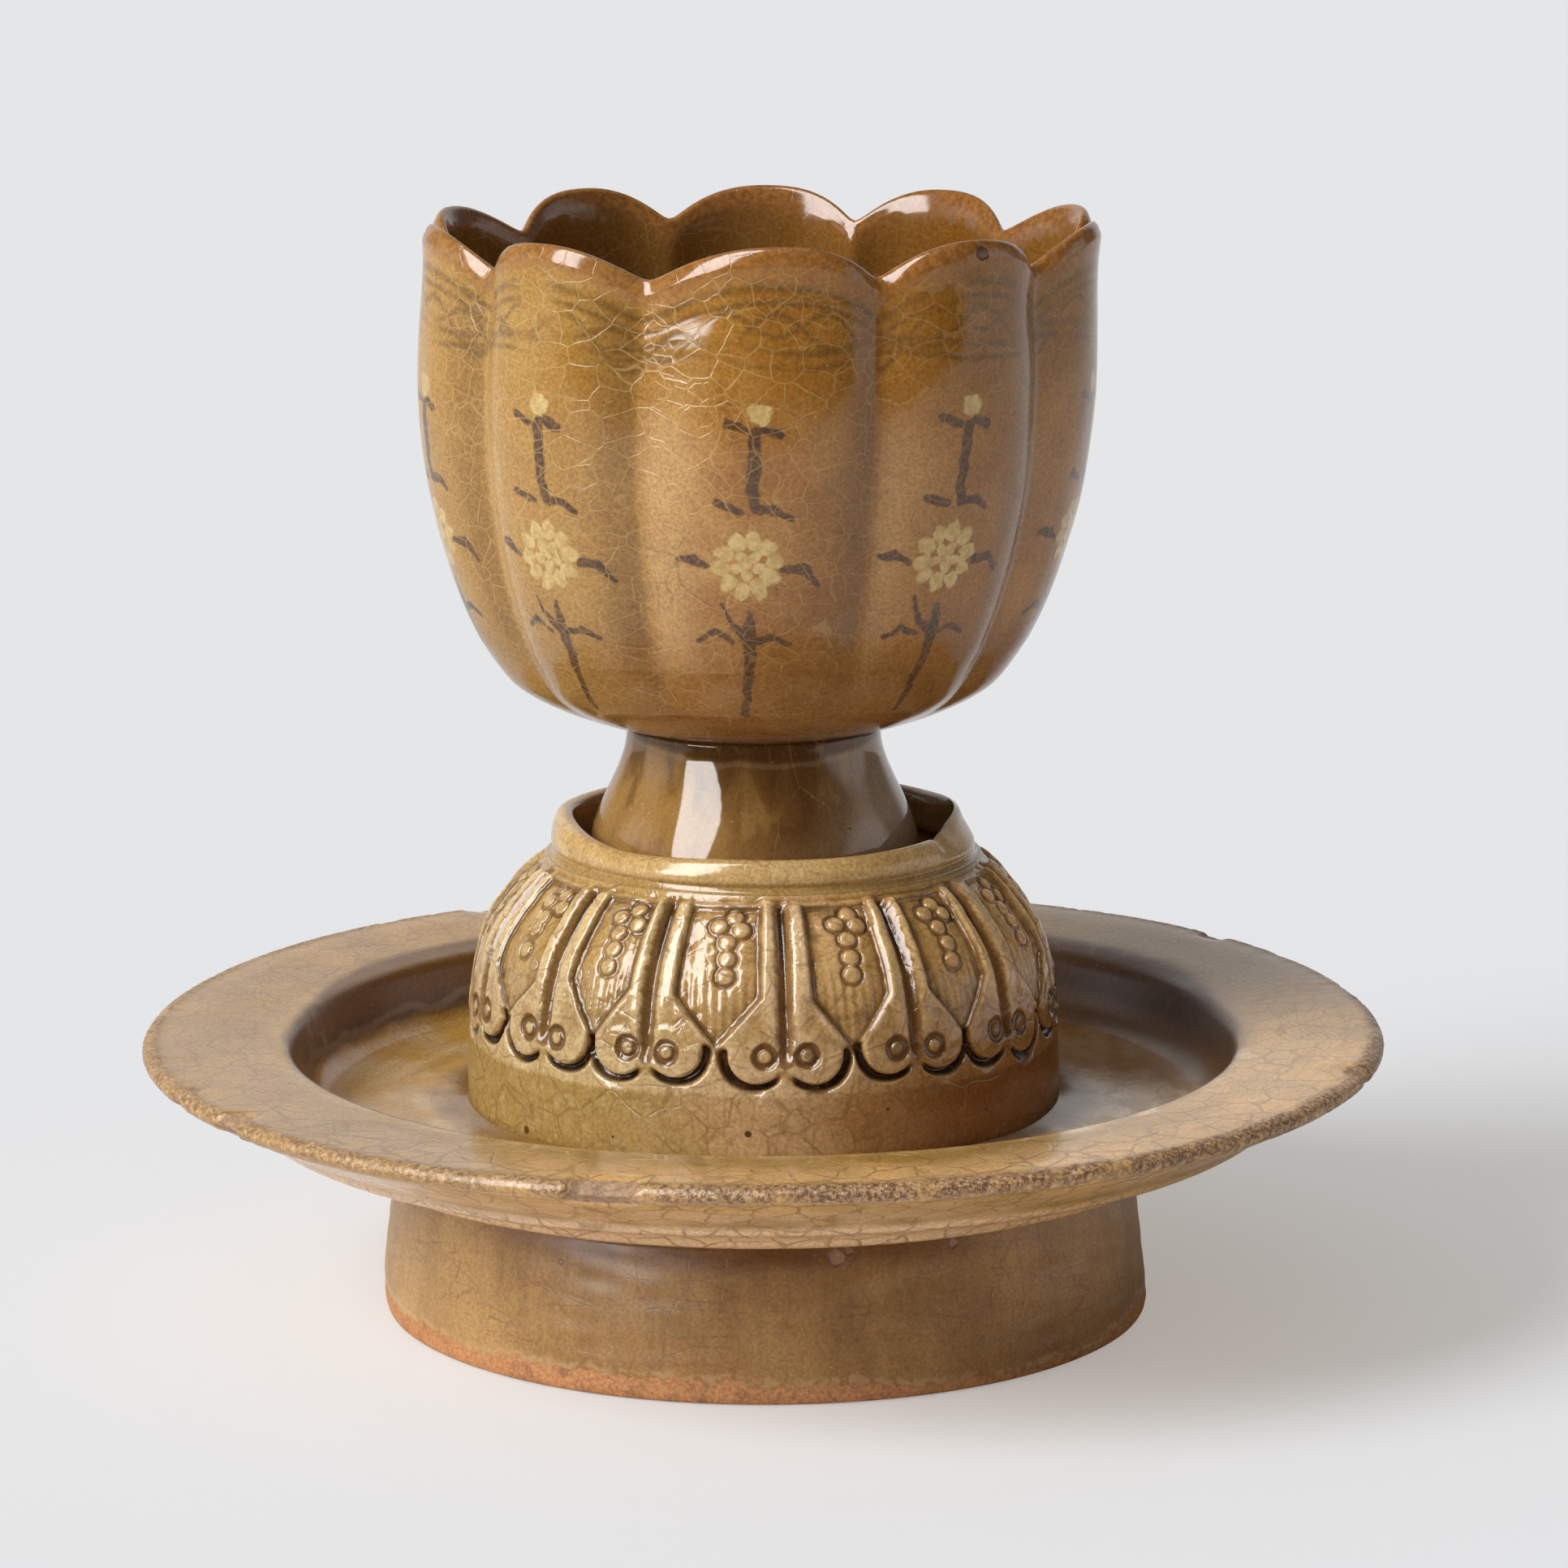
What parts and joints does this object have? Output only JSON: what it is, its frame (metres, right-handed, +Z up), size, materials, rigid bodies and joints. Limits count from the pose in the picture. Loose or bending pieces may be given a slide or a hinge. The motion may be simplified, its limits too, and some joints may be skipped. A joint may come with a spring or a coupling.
{
  "type": "wine cup and stand",
  "caption": "Lobed stoneware wine cup on a flared foot, standing loose in the collar of a wide dish stand with a lotus pedestal and a tall foot ring.",
  "frame": {"origin": "centre of the foot ring's base, on the surface that the stand rests on", "axes": "+Z up along the cup's and stand's common axis; -Y faces the viewer, with one lobe of the cup centred on it; the petals are turned 8.7 degrees from it"},
  "size_m": [0.144, 0.144, 0.1272],
  "materials": {
    "cup_glaze": "glossy amber-brown celadon glaze, finely crackled, over inlaid black and white slip",
    "stand_glaze": "glossy olive-tan celadon glaze, crackled, darker where it pools in the carving",
    "foot_ring_glaze": "thin olive-brown glaze, burnt orange where it ends at the bare foot"
  },
  "bodies": {
    "stand": {"stand_foot_ring": "foot_ring_glaze", "stand_dish": "stand_glaze", "stand_pedestal": "stand_glaze", "stand_collar": "stand_glaze"},
    "cup": {"cup_foot": "cup_glaze", "cup_bowl": "cup_glaze"}
  },
  "joints": [
    {"name": "cup_lift", "type": "slide", "parent": "stand", "child": "cup", "axis": [0, 0, 1], "range_m": [0, 0.07]}
  ]
}
